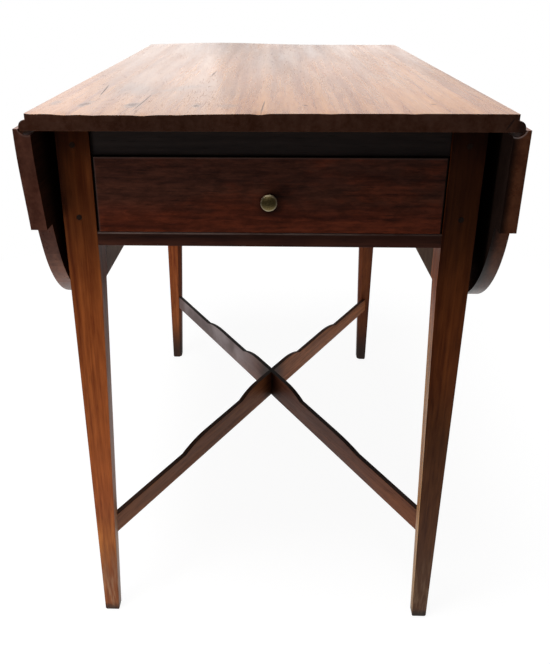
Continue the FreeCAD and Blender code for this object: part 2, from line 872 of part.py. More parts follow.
def knob():
    body = new_body("knob_blank")
    base = s.knob_base_diameter / 2
    neck = s.knob_neck_diameter / 2
    rim = s.knob_diameter / 2
    face = s.knob_face_diameter / 2
    rim_end = s.knob_rim_start + s.knob_rim_width
    dome_start = s.knob_projection - s.knob_face_rise
    dome_radius = (face * face + s.knob_face_rise * s.knob_face_rise) / (s.knob_face_rise * 2)
    corners = [
        (zero, zero),
        (zero, base),
        (-s.knob_base_thickness, base),
        (-(s.knob_base_thickness + base - neck), neck),
        (-s.knob_neck_end, neck),
        (-s.knob_rim_start, rim),
        (-rim_end, rim),
        (-dome_start, face),
        (-s.knob_projection, zero, "y"),
    ]
    arcs = {7: (dome_radius - s.knob_projection, zero)}
    profile = outline(body, "knob_profile", "YZ_Plane", corners, arcs)
    turning = body.newObject("PartDesign::Revolution", "knob_turning")
    turning.Profile = profile
    turning.ReferenceAxis = (profile, ["H_Axis"])
    turning.Angle = 360
    place(body, zero, drawer_front_y, knob_z)
    socket = rod("knob_socket", "y", (zero, drawer_front_y - s.bolt_depth, knob_z),
                 s.bolt_depth, s.bolt_radius + s.bolt_gap)
    node("drawer_knob", cut("knob_cut", body, [socket]))
    nut_y = front_inside_y + s.nut_height
    bolt_length = nut_y - drawer_front_y + s.bolt_depth
    node("knob_bolt", rod("knob_bolt_rod", "y", (zero, drawer_front_y - s.bolt_depth, knob_z),
                          bolt_length, s.bolt_radius))
    nut = doc.addObject("Part::Prism", "knob_nut_blank")
    nut.Polygon = 6
    nut.Placement = FreeCAD.Placement(FreeCAD.Vector(), TURNS["y"])
    nut.setExpression("Circumradius", s.nut_radius.formula)
    nut.setExpression("Height", s.nut_height.formula)
    nut.setExpression("Placement.Base.y", front_inside_y.formula)
    nut.setExpression("Placement.Base.z", knob_z.formula)
    bore = rod("knob_nut_bore", "y", (zero, front_inside_y, knob_z), s.nut_height,
               s.bolt_radius + s.bolt_gap)
    node("knob_nut", cut("knob_nut_cut", nut, [bore]))


knob()


# Fly rails outside the side rails, and the bracket that swings out of each to hold up
# a raised leaf

bracket_low = underside - s.bracket_height
bracket_half = s.bracket_length / 2


def fly(side, sign):
    name = f"fly_rail_{side}"
    radius = (leg_x - rail_outer_x - s.bracket_gap) / 2
    pivot_x = signed(sign, leg_x - radius)
    pivot_y = radius + s.bracket_gap - bracket_half
    pin_start = bracket_low - s.bracket_pin_depth
    pin_hole = s.bracket_pin_radius + s.pin_fit
    board = box(name + "_board", on_side(sign, rail_outer_x, leg_x), both(inner_y),
                (rail_bottom, underside))
    notch = box(name + "_notch", on_side(sign, rail_outer_x, leg_x), both(bracket_half),
                (bracket_low, underside))
    holes = [
        notch,
        rod(name + "_pin_hole", "z", (pivot_x, pivot_y, pin_start), s.bracket_pin_depth, pin_hole),
        wood_screws(name + "_holes", fly_screw_seats[side], fly_screw_length, HOLE),
    ]
    node(name, cut(name + "_cut", board, holes))

    name = f"fly_bracket_{side}"
    body = new_body(name + "_blank")
    far = bracket_half - s.bracket_gap - pivot_y
    corners = [
        (radius, zero, "y"),
        (radius, far),
        (-radius, far),
        (-radius, zero),
        (zero, -radius, "x"),
    ]
    arcs = {3: (zero, zero), 4: (zero, zero)}
    profile = outline(body, name + "_profile", "XY_Plane", corners, arcs, bracket_low + s.bracket_gap)
    pad(body, profile, s.bracket_height - s.bracket_gap * 2)
    place(body, pivot_x, pivot_y)
    grip_y = bracket_half - s.bracket_grip_inset
    bore = rod(name + "_bore", "z", (pivot_x, pivot_y, bracket_low), s.bracket_height, pin_hole)
    grip_x, _ = on_side(sign, rail_outer_x, leg_x)
    grip = rod(name + "_grip", "x", (grip_x, grip_y, bracket_low), leg_x - rail_outer_x,
               s.bracket_grip_radius)
    node(name, cut(name + "_cut", body, [bore, grip]))

    node(f"fly_pin_{side}", rod(
        f"fly_pin_{side}_rod", "z", (pivot_x, pivot_y, pin_start),
        s.bracket_height + s.bracket_pin_depth, s.bracket_pin_radius,
    ))


for side, sign in SIDES:
    fly(side, sign)

fly_seats = fly_screw_seats["left"] + fly_screw_seats["right"]
node("fly_rail_screws", wood_screws("fly_screw_group", fly_seats, fly_screw_length))


# Check every object, then write each piece

doc.recompute()
for item in doc.Objects:
    if "Invalid" in item.State or "Error" in item.State:
        raise RuntimeError(f"{item.Label} did not build: {item.State}")
for piece in nodes:
    if piece.Shape.isNull() or not piece.Shape.isValid():
        raise RuntimeError(f"{piece.Label} has no valid shape")

os.makedirs("parts", exist_ok=True)
for piece in nodes:
    piece.Shape.exportStep(f"parts/{piece.Label}.step")
    print(piece.Label, len(piece.Shape.Solids), round(piece.Shape.Volume / 1000, 2))
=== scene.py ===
import json
import math

import bmesh
import bpy
from mathutils import Matrix, Vector

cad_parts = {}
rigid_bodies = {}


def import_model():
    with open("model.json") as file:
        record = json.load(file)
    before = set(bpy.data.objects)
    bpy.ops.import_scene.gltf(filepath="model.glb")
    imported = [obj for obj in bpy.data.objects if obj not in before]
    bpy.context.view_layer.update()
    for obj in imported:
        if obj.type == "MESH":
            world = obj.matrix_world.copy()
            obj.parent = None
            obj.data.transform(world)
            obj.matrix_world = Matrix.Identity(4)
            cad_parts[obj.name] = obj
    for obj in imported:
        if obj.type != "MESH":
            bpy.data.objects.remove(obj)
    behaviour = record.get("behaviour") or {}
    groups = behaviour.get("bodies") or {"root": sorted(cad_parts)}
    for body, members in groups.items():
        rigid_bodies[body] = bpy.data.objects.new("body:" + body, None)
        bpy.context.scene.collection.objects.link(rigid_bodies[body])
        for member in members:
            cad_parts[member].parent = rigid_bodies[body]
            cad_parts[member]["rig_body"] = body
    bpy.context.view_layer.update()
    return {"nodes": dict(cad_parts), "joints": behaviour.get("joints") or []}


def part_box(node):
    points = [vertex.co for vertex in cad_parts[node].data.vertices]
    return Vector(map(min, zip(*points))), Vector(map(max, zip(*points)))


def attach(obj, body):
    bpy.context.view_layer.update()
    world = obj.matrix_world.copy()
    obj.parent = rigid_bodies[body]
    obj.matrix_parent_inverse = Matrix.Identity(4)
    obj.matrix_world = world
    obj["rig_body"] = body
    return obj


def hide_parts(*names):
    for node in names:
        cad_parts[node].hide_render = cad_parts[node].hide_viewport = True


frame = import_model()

# The looks of a worn pembroke table: warped top and leaf, woods, brass and iron,
# and the studio that it stands in. Lengths are in metres in the frame of the solids,
# colours are in linear light, and masks go from 0 to 1.

nodes = frame["nodes"]
MM = 0.001
ACROSS = Vector((1, 0, 0))
ALONG = Vector((0, 1, 0))
UP = Vector((0, 0, 1))

top_low, top_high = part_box("top_board")
left_hinge = next(joint for joint in frame["joints"] if joint["name"] == "leaf_left_hinge")
pin_height = left_hinge["pos_m"][2]
pin_reach = -left_hinge["pos_m"][0]


# Node helpers


def add(tree, kind, inputs=None, **settings):
    """A shader node with its settings. An input is a value, or a socket to link from."""
    node = tree.nodes.new("ShaderNode" + kind)
    for key, value in settings.items():
        setattr(node, key, value)
    for key, value in (inputs or {}).items():
        if isinstance(value, bpy.types.NodeSocket):
            tree.links.new(value, node.inputs[key])
        else:
            node.inputs[key].default_value = value
    return node


def calc(tree, operation, first, second=0.0):
    return add(tree, "Math", {0: first, 1: second}, operation=operation).outputs[0]


def product(tree, first, *others):
    """Numbers or sockets multiplied."""
    for other in others:
        first = calc(tree, "MULTIPLY", first, other)
    return first


def opposite(tree, mask):
    return calc(tree, "SUBTRACT", 1.0, mask)


def stretch(tree, vector, factors):
    node = add(tree, "VectorMath", {0: vector, 1: factors}, operation="MULTIPLY")
    return node.outputs[0]


def length(tree, vector):
    return add(tree, "VectorMath", {0: vector}, operation="LENGTH").outputs["Value"]


def fade(tree, value, start, end, low=0.0, high=1.0):
    """A smooth step of value between start and end."""
    inputs = {"Value": value, "From Min": start, "From Max": end, "To Min": low, "To Max": high}
    return add(tree, "MapRange", inputs, interpolation_type="SMOOTHSTEP").outputs[0]


def mix(tree, factor, first, second, blend="MIX"):
    node = add(tree, "Mix", {0: factor, 6: first, 7: second}, data_type="RGBA", blend_type=blend)
    return node.outputs[2]


def noise(tree, vector, scale, detail=4.0, roughness=0.55, distortion=0.0):
    inputs = {"Vector": vector, "Scale": scale, "Detail": detail, "Roughness": roughness,
              "Distortion": distortion}
    return add(tree, "TexNoise", inputs).outputs[0]


def ramp(tree, factor, stops):
    """A colour by factor, from stops of (place, colour)."""
    node = add(tree, "ValToRGB", {0: factor})
    band = node.color_ramp
    while len(band.elements) < len(stops):
        band.elements.new(0.5)
    for element, (place, colour) in zip(band.elements, stops):
        element.position = place
        element.color = (*colour, 1.0)
    return node.outputs[0]


def dim(tree, colour, shade):
    """A colour times a grey level."""
    level = add(tree, "CombineColor", {0: shade, 1: shade, 2: shade}).outputs[0]
    return mix(tree, 1.0, colour, level, "MULTIPLY")


def shift(tree, colour, where, factors):
    """A colour times three factors, as far as the mask says."""
    return mix(tree, where, colour, mix(tree, 1.0, colour, (*factors, 1), "MULTIPLY"))


def cover(tree, colour, where, shade):
    """Another colour over a colour, as far as the mask says."""
    return mix(tree, where, colour, (*shade, 1))


def tint(colour, factor):
    return tuple(channel * factor for channel in colour)


def grey(level):
    return (level, level, level)


def new_material(name):
    material = bpy.data.materials.new(name)
    material.use_nodes = True
    tree = material.node_tree
    shader = tree.nodes["Principled BSDF"]
    return material, tree, shader


def matt(tree, shader, where):
    """Take the shine off where the mask is 1."""
    level = shader.inputs["Specular IOR Level"]
    tree.links.new(product(tree, opposite(tree, where), level.default_value), level)


def relief(tree, shader, height, strength, depth):
    """Fine hollows and ridges in the shine."""
    bump = add(tree, "Bump", {"Height": height, "Strength": strength, "Distance": depth})
    tree.links.new(bump.outputs[0], shader.inputs["Normal"])


# Places on a piece


def place_on(tree):
    """The place of a point on its piece, with the piece at rest."""
    return add(tree, "TexCoord").outputs["Object"]


def coordinate(tree, axis):
    return add(tree, "SeparateXYZ", {0: place_on(tree)}).outputs[axis]


def away_from(tree, point, axes):
    """The distance from a point, measured along the axes that are 1."""
    offset = add(tree, "VectorMath", {0: place_on(tree), 1: point}, operation="SUBTRACT").outputs[0]
    return length(tree, stretch(tree, offset, axes))


def facing(tree, direction):
    """How far a face looks along a direction of the piece, from -1 to 1."""
    normal = add(tree, "TexCoord").outputs["Normal"]
    node = add(tree, "VectorMath", {0: normal, 1: direction}, operation="DOT_PRODUCT")
    return node.outputs["Value"]


EDGE_RADIUS = 1.6 * MM
WORN_PATCHES = 28


def worn_edges(tree):
    """1 on sharp edges, broken up as wear is."""
    rounded = add(tree, "Bevel", {"Radius": EDGE_RADIUS}, samples=4).outputs[0]
    flat = add(tree, "NewGeometry").outputs["Normal"]
    same = add(tree, "VectorMath", {0: rounded, 1: flat}, operation="DOT_PRODUCT").outputs["Value"]
    edge = fade(tree, same, 0.99, 0.8)
    patches = fade(tree, noise(tree, place_on(tree), WORN_PATCHES, 3), 0.35, 0.65)
    return product(tree, edge, patches)


# Wood: a pattern changes so many times in a metre along the grain, and across it

STREAKS = (1.6, 60)
FIBRES = (9, 330)
FLECKS = (26, 210)
WAVES = (2.4, 14)
BANDS = (0.5, 9)
PORES = (40, 900)
PATCHES = (1.8, 9)
SMEARS = (3, 34)
TONE_BASE, FIGURE_BASE = -0.8, -0.3
STREAK_WEIGHT, FIBRE_WEIGHT, FLECK_WEIGHT = 1.25, 0.45, 0.6
WAVE_WEIGHT, BAND_WEIGHT = 0.4, 0.25
PORE_DEPTH, PORE_SHADE, PORE_ROUGH = 0.55, 0.35, 0.12
GRAIN_TURNS = {
    "x": (0, 0, 0),
    "y": (0, 0, -math.pi / 2),
    "z": (0, math.pi / 2, 0),
}


class Wood:
    """The colours and finish of one kind of wood."""

    def __init__(self, dark, light, end=grey(0.35), wear=0.5, rough=0.38, shine=0.3, figure=0.5, coarse=1.0,
                 smear=0.10, edge=1.45, glare=(1, 1, 1)):
        self.dark = dark
        self.light = light
        self.end = end
        self.wear = wear
        self.rough = rough
        self.shine = shine
        self.figure = figure
        self.coarse = coarse
        self.smear = smear
        self.edge = edge
        self.glare = glare


def grain_space(tree, turn):
    """The place on the piece, turned so that the grain runs along X."""
    return add(tree, "Mapping", {"Vector": place_on(tree), "Rotation": turn}).outputs[0]


def rates(tree, along, pattern, coarse=1.0):
    """Grain coordinates at the rates of a pattern."""
    lengthwise, crosswise = pattern
    return stretch(tree, along, (lengthwise, crosswise * coarse, crosswise * coarse))


def grain_tone(tree, kind, along, fibres):
    """From dark to light along the grain, about 0 to 1."""
    streaks = noise(tree, rates(tree, along, STREAKS, kind.coarse), 1, 6, 0.62, 0.25)
    flecks = noise(tree, rates(tree, along, FLECKS), 1, 2, 0.5)
    waves = noise(tree, rates(tree, along, WAVES), 1, 3, 0.5, 1.2)
    bands = add(tree, "TexWave", {
        "Vector": rates(tree, along, BANDS), "Scale": 2.2, "Distortion": 5.0,
        "Detail": 2.0, "Detail Scale": 1.3,
    }, bands_direction="Y").outputs[1]
    weights = ((streaks, STREAK_WEIGHT), (fibres, FIBRE_WEIGHT), (flecks, FLECK_WEIGHT),
               (waves, kind.figure * WAVE_WEIGHT), (bands, kind.figure * BAND_WEIGHT))
    tone = TONE_BASE + kind.figure * FIGURE_BASE
    for pattern, weight in weights:
        tone = calc(tree, "ADD", tone, product(tree, pattern, weight))
    return tone


def end_grain(tree, turn):
    """1 on the faces that look along the grain."""
    axis = Vector(ACROSS)
    axis.rotate(Matrix.Rotation(-turn[2], 3, "Z"))
    if turn[1]:
        axis = UP
    return fade(tree, calc(tree, "ABSOLUTE", facing(tree, axis)), 0.75, 0.95)


def wood_colour(tree, kind, turn, along, fibres, pores):
    """Grain from dark to light, dark pores, faint patches, worn edges and dark end grain."""
    tone = grain_tone(tree, kind, along, fibres)
    middle = tuple((dark + light) / 2 for dark, light in zip(kind.dark, kind.light))
    colour = ramp(tree, tone, [(0.1, kind.dark), (0.5, middle), (0.95, kind.light)])
    colour = cover(tree, colour, product(tree, pores, PORE_DEPTH), tint(kind.dark, PORE_SHADE))
    patches = noise(tree, rates(tree, along, PATCHES), 1, 3, 0.55)
    colour = dim(tree, colour, fade(tree, patches, 0.3, 0.7, 0.78, 1.12))
    if kind.wear:
        worn = product(tree, worn_edges(tree), kind.wear)
        colour = cover(tree, colour, worn, tint(kind.light, kind.edge))
    return shift(tree, colour, end_grain(tree, turn), kind.end)


def wood(name, kind, turn, extra=None):
    """A polished wood with streaks, pores, figure and worn edges.

    extra(tree, colour, gloss, shader) may add marks; it returns the colour and roughness with them.
    """
    material, tree, shader = new_material(name)
    along = grain_space(tree, turn)
    fibres = noise(tree, rates(tree, along, FIBRES, kind.coarse), 1, 3, 0.5)
    pores = fade(tree, noise(tree, rates(tree, along, PORES, kind.coarse), 1, 2, 0.5), 0.6, 0.72)
    colour = wood_colour(tree, kind, turn, along, fibres, pores)
    smears = noise(tree, rates(tree, along, SMEARS), 1, 4, 0.6)
    gloss = fade(tree, smears, 0.25, 0.75, kind.rough - kind.smear, kind.rough + kind.smear)
    gloss = calc(tree, "ADD", gloss, product(tree, pores, PORE_ROUGH))
    shader.inputs["Specular IOR Level"].default_value = kind.shine
    shader.inputs["Specular Tint"].default_value = (*kind.glare, 1)
    if extra:
        colour, gloss = extra(tree, colour, gloss, shader)
    tree.links.new(colour, shader.inputs["Base Color"])
    tree.links.new(gloss, shader.inputs["Roughness"])
    height = calc(tree, "SUBTRACT", product(tree, fibres, 0.5), pores)
    relief(tree, shader, height, strength=0.25, depth=0.2 * MM)
    return material


# Kinds of wood

# The top's end grain is set far darker than the wood: partly end grain, partly painted shade for its shaded
# end faces
FADED = Wood((0.30, 0.092, 0.021), (0.60, 0.262, 0.082), end=(0.125, 0.130, 0.28), wear=0.35,
             rough=0.22, shine=0.31, smear=0.03, glare=(1, 0.85, 0.68))
# The leaves are one wood; the left leaf's darker, bluer end grain is painted shade
LEFT_LEAF = Wood((0.13, 0.036, 0.014), (0.30, 0.105, 0.045), end=(0.36, 0.38, 0.55), wear=0.4, rough=0.34)
RIGHT_LEAF = Wood((0.13, 0.036, 0.014), (0.30, 0.105, 0.045), end=grey(0.60), wear=0.4, rough=0.34)
LEG = Wood((0.13, 0.024, 0.004), (0.42, 0.115, 0.025), wear=0.6, shine=0.22, coarse=1.5, edge=0.12)
# FRONT is darker than the leg wood partly by its own colour and partly as painted shade, for the faces under
# the top
FRONT = Wood((0.028, 0.009, 0.0065), (0.094, 0.030, 0.0165), wear=0.3, rough=0.45, shine=0.2, figure=0.9)
BOARD = Wood((0.16, 0.047, 0.014), (0.42, 0.150, 0.050), wear=0.3, rough=0.5, shine=0.2)
DARK_BOARD = Wood((0.066, 0.020, 0.010), (0.165, 0.060, 0.031), wear=0.3, rough=0.5, shine=0.2)
INNER = Wood((0.17, 0.095, 0.045), (0.36, 0.23, 0.12), end=grey(0.6), wear=0.0, rough=0.7)
PEG = Wood((0.012, 0.006, 0.004), (0.035, 0.016, 0.009), end=grey(0.7), wear=0.0, rough=0.6)
SHADED = Wood((0.010, 0.008, 0.008), (0.028, 0.021, 0.019), wear=0.0, rough=0.65, shine=0.2)


# Marks on the top

# Each has a middle, half length, half width, turn in degrees and strength.
# Stains and scratches lie in X and Y, and the two marks on the near end, a crack and the painted shade of a
# chip, in X and Z.
STAINS = [
    ((-0.240, -0.373), 0.030, 0.008, 90, 0.45),
    ((-0.205, -0.381), 0.028, 0.009, 85, 0.60),
    ((-0.152, -0.387), 0.026, 0.012, 80, 0.60),
    ((-0.165, -0.262), 0.085, 0.040, 110, 0.30),
    ((-0.081, -0.394), 0.018, 0.006, 90, 0.70),
    ((-0.045, -0.398), 0.025, 0.018, 90, 0.30),
    ((-0.110, -0.250), 0.060, 0.020, 60, 0.30),
]
SCRATCHES = [
    ((-0.207, -0.266), 0.068, 0.0012, 95, 0.80),
    ((-0.0835, -0.090), 0.055, 0.0013, 87, 0.70),
    ((-0.1435, -0.365), 0.078, 0.0011, 88, 0.70),
    ((0.0385, -0.395), 0.006, 0.0022, 140, 0.85),
    ((0.179, -0.387), 0.005, 0.0018, 0, 0.85),
    ((-0.0075, -0.405), 0.062, 0.0012, 88, 0.66),
]
END_CRACK = ((0.2455, 0.7015), 0.010, 0.0013, 57, 0.9)
# Painted shade: a dark patch at the near end's right corner stands for the shadow in a chip there
CHIP_PAINTED_SHADE = ((0.262, 0.699), 0.017, 0.012, 90, 0.8)
STAIN_EDGE = {"ragged": 1.6, "soft": 0.2}
SCRATCH_EDGE = {"ragged": 0.8, "soft": 0.5}
CRACK_AND_SHADE_EDGE = {"ragged": 0.8, "soft": 0.4}
STAIN_COLOUR = (0.050, 0.048, 0.060)
SCRATCH_AND_SHADE_COLOUR = (0.020, 0.010, 0.008)
MARK_ROUGH, MARK_RAGS, THROUGH = 0.5, 90, 1e3
LIGHT_SIDE, NEAR_END = (0.06, 0.15), (0.06, 0.02)


def mark(tree, place, centre, half_length, half_width, turn, strength, ragged, soft):
    """A ragged oval of the surface, in the first two axes of place."""
    oval = add(tree, "Mapping", {
        "Vector": place, "Location": (*centre, 0), "Rotation": (0, 0, math.radians(turn)),
        "Scale": (half_length, half_width, THROUGH),
    }, vector_type="TEXTURE").outputs[0]
    rags = calc(tree, "SUBTRACT", noise(tree, place, MARK_RAGS, 4, 0.65), 0.5)
    distance = calc(tree, "ADD", length(tree, oval), product(tree, rags, ragged))
    return fade(tree, distance, 1.0, soft, 0.0, strength)


def top_marks(tree, colour, gloss, shader):
    """A lighter right part, stains and scratches on the upper face, and a crack and painted shade for a chip
    at the near corner.
    """
    place = place_on(tree)
    x = coordinate(tree, "X")
    above = fade(tree, facing(tree, UP), 0.0, 0.3)
    colour = dim(tree, colour, fade(tree, x, *LIGHT_SIDE, 1.0, 1.12))
    kinds = ((STAINS, STAIN_COLOUR, STAIN_EDGE), (SCRATCHES, SCRATCH_AND_SHADE_COLOUR, SCRATCH_EDGE))
    for marks, shade, edge in kinds:
        for one in marks:
            dark = product(tree, mark(tree, place, *one, **edge), above)
            colour = cover(tree, colour, dark, shade)
            gloss = calc(tree, "MAXIMUM", gloss, product(tree, dark, MARK_ROUGH))
    upright = add(tree, "CombineXYZ", {0: x, 1: coordinate(tree, "Z")}).outputs[0]
    near = fade(tree, coordinate(tree, "Y"), top_low.y + NEAR_END[0], top_low.y + NEAR_END[1])
    beside = product(tree, near, opposite(tree, above))
    # The first mark is a crack; the second is painted shade for a chip
    for crack_and_shade in (END_CRACK, CHIP_PAINTED_SHADE):
        dark = mark(tree, upright, *crack_and_shade, **CRACK_AND_SHADE_EDGE)
        colour = cover(tree, colour, product(tree, dark, beside), SCRATCH_AND_SHADE_COLOUR)
    return colour, gloss


# Wear of the other woods, with painted light and shade

# Painted light: the left rail's bare inner face is pale to stand for light falling on it
BARE_LEFT_RAIL_PAINTED_LIGHT = (0.50, 0.41, 0.38)
BARE_RIGHT_RAIL = (0.13, 0.090, 0.070)
# Painted shade: the leaves' bare undersides are near black to stand for the shadow on them
BARE_LEFT_LEAF_PAINTED_SHADE = (0.006, 0.006, 0.006)
BARE_RIGHT_LEAF_PAINTED_SHADE = (0.018, 0.011, 0.009)
DUST_CLOUDS, PAINTED_LIGHT_AND_DUST_COVER = 30, 0.85


def bare_face(direction, shade):
    """Unpolished, dusty wood on the faces that look along a direction of the piece, in a given colour:
    painted shade on the leaves, painted light on the left rail.
    """
    def bare(tree, colour, gloss, shader):
        # Dusty clouds in the given colour: painted shade on the leaves, painted light on the left rail
        painted_light_and_dust = ramp(tree, noise(tree, place_on(tree), DUST_CLOUDS, 5, 0.6),
                    [(0.3, tint(shade, 0.7)), (0.7, tint(shade, 1.2))])
        inside = fade(tree, facing(tree, direction), 0.5, 0.9)
        matt(tree, shader, inside)
        return mix(tree, product(tree, inside, PAINTED_LIGHT_AND_DUST_COVER), colour, painted_light_and_dust), gloss
    return bare


HOLLOW_LINE = (9.5 * MM, 11 * MM)
# Painted highlight along the edge of the hollow
HOLLOW_HIGHLIGHT = (0.40, 0.33, 0.31)
# Painted shade on a leaf's ends reaches this far from the inner face
INNER_SHADE_REACH = 11 * MM


def hollow_highlight(tree, colour, pin_x, strength):
    """A painted highlight: a pale line on a leaf's ends, along the hollow of its rule joint."""
    distance = away_from(tree, (pin_x, 0, pin_height), (1, 0, 1))
    line = fade(tree, distance, *HOLLOW_LINE, strength, 0.0)
    ends = fade(tree, calc(tree, "ABSOLUTE", facing(tree, ALONG)), 0.4, 0.8)
    return cover(tree, colour, product(tree, line, ends), HOLLOW_HIGHLIGHT)


def leaf_shade_and_wear(inward, shade, inner_face, darkening, paler):
    """A bare inner face in a given colour, painted shade on the faces that look down, and ends with painted
    shade beside the inner face and a painted highlight along the hollow.
    """
    bare = bare_face(inward, shade)

    def wear(tree, colour, gloss, shader):
        # Painted shade on the faces that look down
        colour = dim(tree, colour, fade(tree, facing(tree, UP), -0.2, -0.9, 1.0, 0.65))
        # Painted shade on the ends beside the inner face, where the leaf meets the leg
        depth = calc(tree, "ABSOLUTE", calc(tree, "SUBTRACT", coordinate(tree, "X"), inner_face))
        colour = dim(tree, colour, fade(tree, depth, 0.0, INNER_SHADE_REACH, darkening, 1.0))
        # Painted highlight along the hollow
        colour = hollow_highlight(tree, colour, -inward.x * pin_reach, paler)
        return bare(tree, colour, gloss, shader)
    return wear


# Legs: heights between which a change of colour, much of it painted light and shade, fades in or out, then
# factors and colours
LEG_SPACE = 0.2
# Painted shade on the right legs, beside the rails and under the top
RIGHT_SHADE = (0.20, 0.62)
RAIL_SHADE, TOP_SHADE = (0.46, 0.605), (0.635, 0.69)
PALE_PART, DULL_PART, MATT_PART = (0.38, 0.52), (0.42, 0.29), (0.48, 0.52)
RUBBED_ABOVE, RUBBED_BELOW = (0.19, 0.13), (0.07, 0.115)
FADED_FOOT, SCUFFED_FOOT, DIRTY_FOOT = (0.24, 0.02), (0.14, 0.01), (0.12, 0.015)
DIRTY_TIP, TIP_RAGGED = (24 * MM, 11 * MM), 12 * MM
# Painted light on the near legs' inner faces, and painted shade on the far legs' inner faces
PALE_NEAR, PALE_RIGHT, DARK_FAR = (1.35, 1.6, 1.1), (0.95, 1.35, 1.6), (0.5, 0.5, 0.7)
DULL, RUBBED, FADED_WOOD = (0.66, 0.85, 1.15), (1.3, 1.5, 1.3), (0.72, 1.0, 1.5)
LEG_LIGHT, FAR_LEG_LIGHT = 1.12, 1.65
SCUFF_COLOUR = (0.34, 0.21, 0.12)
FOOT_DIRT = (0.012, 0.008, 0.006)


def leg_shade(tree, colour, right, inward):
    """Painted shade: the right legs are darker, apart from their inner faces, which get painted light, and
    all legs are dark beside the rails.
    """
    z = coordinate(tree, "Z")
    outer = fade(tree, inward, 0, 1, 1, -0.4)
    # Painted shade on the right legs, with painted light on their inner faces
    darker = product(tree, right, outer, fade(tree, z, *RIGHT_SHADE, 0.48, 0.66))
    colour = dim(tree, colour, calc(tree, "SUBTRACT", LEG_LIGHT, darker))
    # Painted shade towards the rails and the top
    colour = dim(tree, colour, fade(tree, z, *RAIL_SHADE, 1.0, 0.40))
    return dim(tree, colour, fade(tree, z, *TOP_SHADE, 1.0, 0.3))


def leg_faces(tree, colour, right, front, inward):
    """Inner faces, with painted light on the near legs and painted shade on the far ones, and a dull and a
    rubbed part in front.
    """
    z = coordinate(tree, "Z")
    near_right = product(tree, right, front)
    near_left = calc(tree, "SUBTRACT", front, near_right)
    near_inward = product(tree, inward, front)
    # Painted light on the near legs' inner faces
    pale = product(tree, near_inward, fade(tree, z, *PALE_PART, 1.0, 0.0))
    colour = shift(tree, colour, pale, PALE_NEAR)
    colour = shift(tree, colour, product(tree, pale, near_right), PALE_RIGHT)
    # Painted shade on the far legs' inner faces
    colour = shift(tree, colour, calc(tree, "SUBTRACT", inward, near_inward), DARK_FAR)
    dull = product(tree, near_right, opposite(tree, inward), fade(tree, z, *DULL_PART))
    colour = shift(tree, colour, dull, DULL)
    paler = product(tree, fade(tree, z, *RUBBED_ABOVE), fade(tree, z, *RUBBED_BELOW), near_left)
    return shift(tree, colour, paler, RUBBED)


def leg_feet(tree, colour, front):
    """Feet that are faded and scuffed, with dirt at the tips and on the far legs."""
    place = place_on(tree)
    z = coordinate(tree, "Z")
    colour = shift(tree, colour, fade(tree, z, *FADED_FOOT, 0.0, 0.5), FADED_WOOD)
    streaks = noise(tree, stretch(tree, place, (170, 170, 22)), 1, 3, 0.6)
    scuffs = product(tree, fade(tree, streaks, 0.40, 0.64), fade(tree, z, *SCUFFED_FOOT, 0.0, 0.45), front)
    colour = cover(tree, colour, scuffs, SCUFF_COLOUR)
    ragged = product(tree, noise(tree, place, 160, 3), TIP_RAGGED)
    tip = fade(tree, calc(tree, "ADD", z, ragged), *DIRTY_TIP, 0.0, 0.85)
    far = product(tree, opposite(tree, front), 0.9)
    low = product(tree, fade(tree, z, *DIRTY_FOOT), far)
    return cover(tree, colour, calc(tree, "MAXIMUM", tip, low), FOOT_DIRT)


def leg_light_and_wear(tree, colour, gloss, shader):
    """Legs with painted light and shade, which differ by side and end and darken towards the rails, and which
    are worn at the feet.
    """
    x = coordinate(tree, "X")
    z = coordinate(tree, "Z")
    right = fade(tree, x, -LEG_SPACE, LEG_SPACE)
    front = fade(tree, coordinate(tree, "Y"), LEG_SPACE, -LEG_SPACE)
    sideways = product(tree, facing(tree, ACROSS), calc(tree, "SIGN", x))
    inward = fade(tree, sideways, -0.3, -0.8)
    colour = leg_shade(tree, colour, right, inward)
    colour = leg_faces(tree, colour, right, front, inward)
    # Painted light on the far legs
    colour = dim(tree, colour, fade(tree, front, 0.0, 1.0, FAR_LEG_LIGHT, 1.0))
    matt(tree, shader, product(tree, inward, fade(tree, z, *MATT_PART, 0.3, 0.65)))
    return leg_feet(tree, colour, front), gloss


# Painted highlight on the drawer front's upper and left arrises
DRAWER_HIGHLIGHT = (0.085, 0.052, 0.045)
# Painted shade of the gaps round the drawer front
DRAWER_GAP_SHADE = (0.006, 0.005, 0.004)
# Brightens and reddens the lower part, which is painted light, and the blotches
DRAWER_RED = (1.8, 1.12, 0.75)
# Painted shadow of the knob: its middle lies below the knob, and it fades out between two distances
KNOB_SHADOW_X, KNOB_SHADOW_Z = 2 * MM, -5 * MM
KNOB_SHADOW_REACH = (7 * MM, 19 * MM)
UPPER_HIGHLIGHT, LEFT_HIGHLIGHT = (2.6 * MM, 1.4 * MM), (2.6 * MM, 1.6 * MM)
SIDE_GAP_SHADE, UPPER_GAP_SHADE = (1.2 * MM, 0.7 * MM), (1.0 * MM, 0.5 * MM)


def beside_edge(tree, value, edge, reach):
    """1 beside an edge, fading in between two distances from it."""
    return fade(tree, value, edge - reach[0], edge - reach[1])


def knob_shadow(tree, colour):
    """A painted shadow round the knob, mostly under it."""
    low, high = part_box("drawer_knob")
    middle = (low + high) / 2
    away = away_from(tree, (middle.x + KNOB_SHADOW_X, 0, middle.z + KNOB_SHADOW_Z), (1, 0, 1))
    return dim(tree, colour, fade(tree, away, *KNOB_SHADOW_REACH, 0.25, 1.0))


